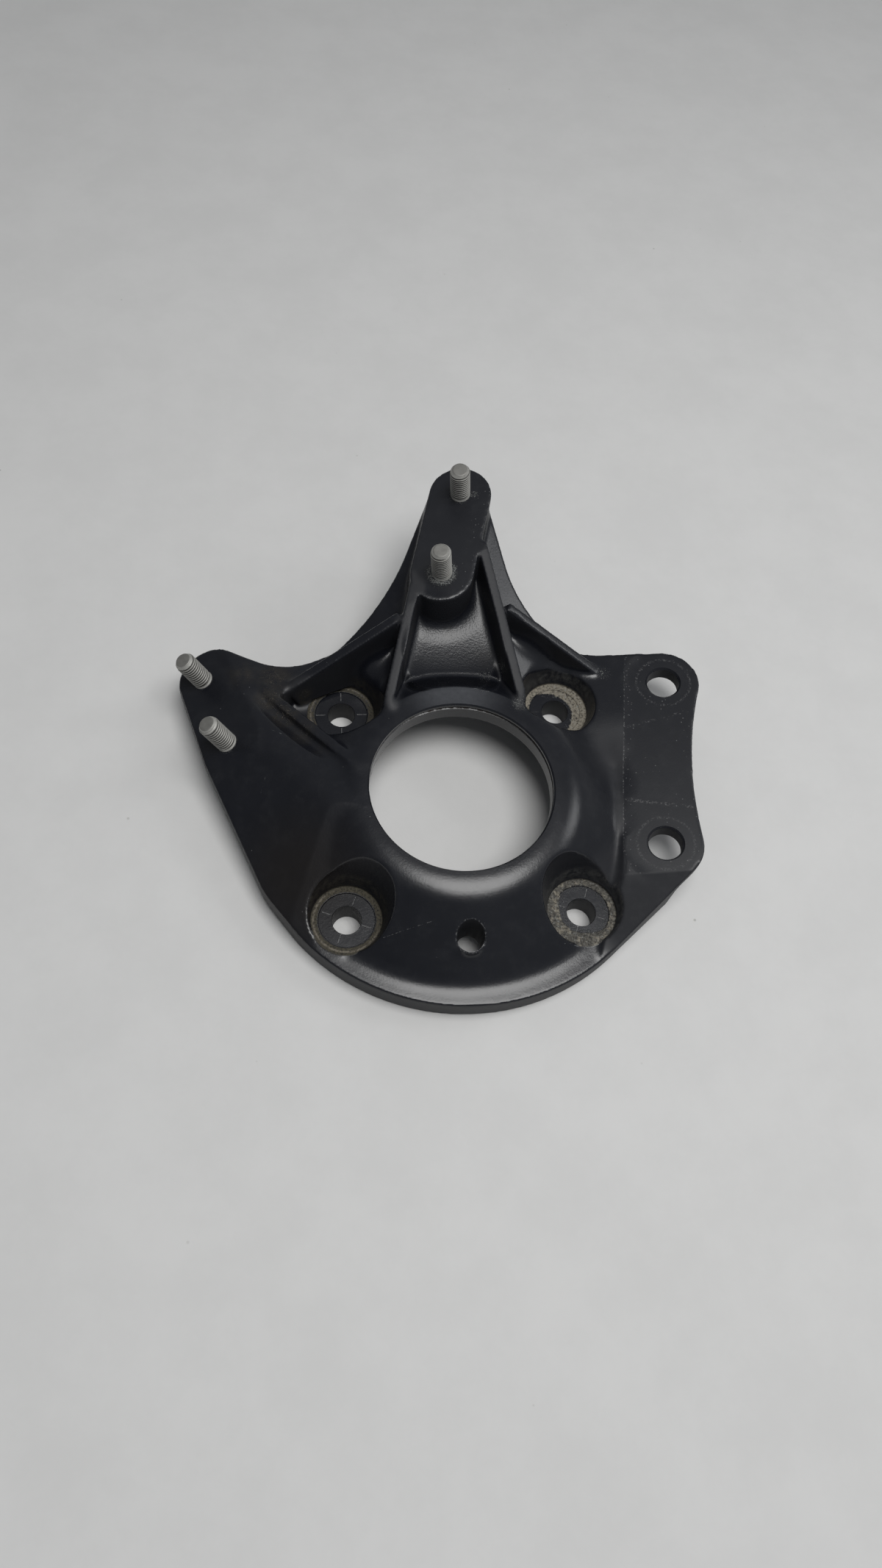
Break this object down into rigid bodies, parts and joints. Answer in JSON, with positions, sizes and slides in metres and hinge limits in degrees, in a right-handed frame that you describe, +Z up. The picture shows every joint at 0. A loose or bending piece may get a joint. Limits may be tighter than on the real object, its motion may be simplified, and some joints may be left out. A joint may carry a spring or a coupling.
{
  "type": "strut mount",
  "caption": "Cast strut mount: a domed dish with a large bore and recessed bolt holes, a drilled side pad, a studded side pad and a tall ribbed arm that ends in a studded pad.",
  "frame": {"origin": "on the bore axis, in the plane of the undersides of the four bolt bosses, which is also the plane the rim stands on", "axes": "+Z up along the bore axis, from the open underside to the collar; +X towards the pad with the two clearance holes; +Y towards the tall studded arm"},
  "size_m": [0.2594, 0.2605, 0.0874],
  "materials": {
    "casting_paint": "satin black paint over a cast surface, worn and speckled",
    "zinc_plate": "dull zinc plate"
  },
  "bodies": {
    "root": {"mount_casting": "casting_paint", "left_stud_upper": "zinc_plate", "left_stud_lower": "zinc_plate", "top_stud_inner": "zinc_plate", "top_stud_outer": "zinc_plate"}
  },
  "joints": []
}
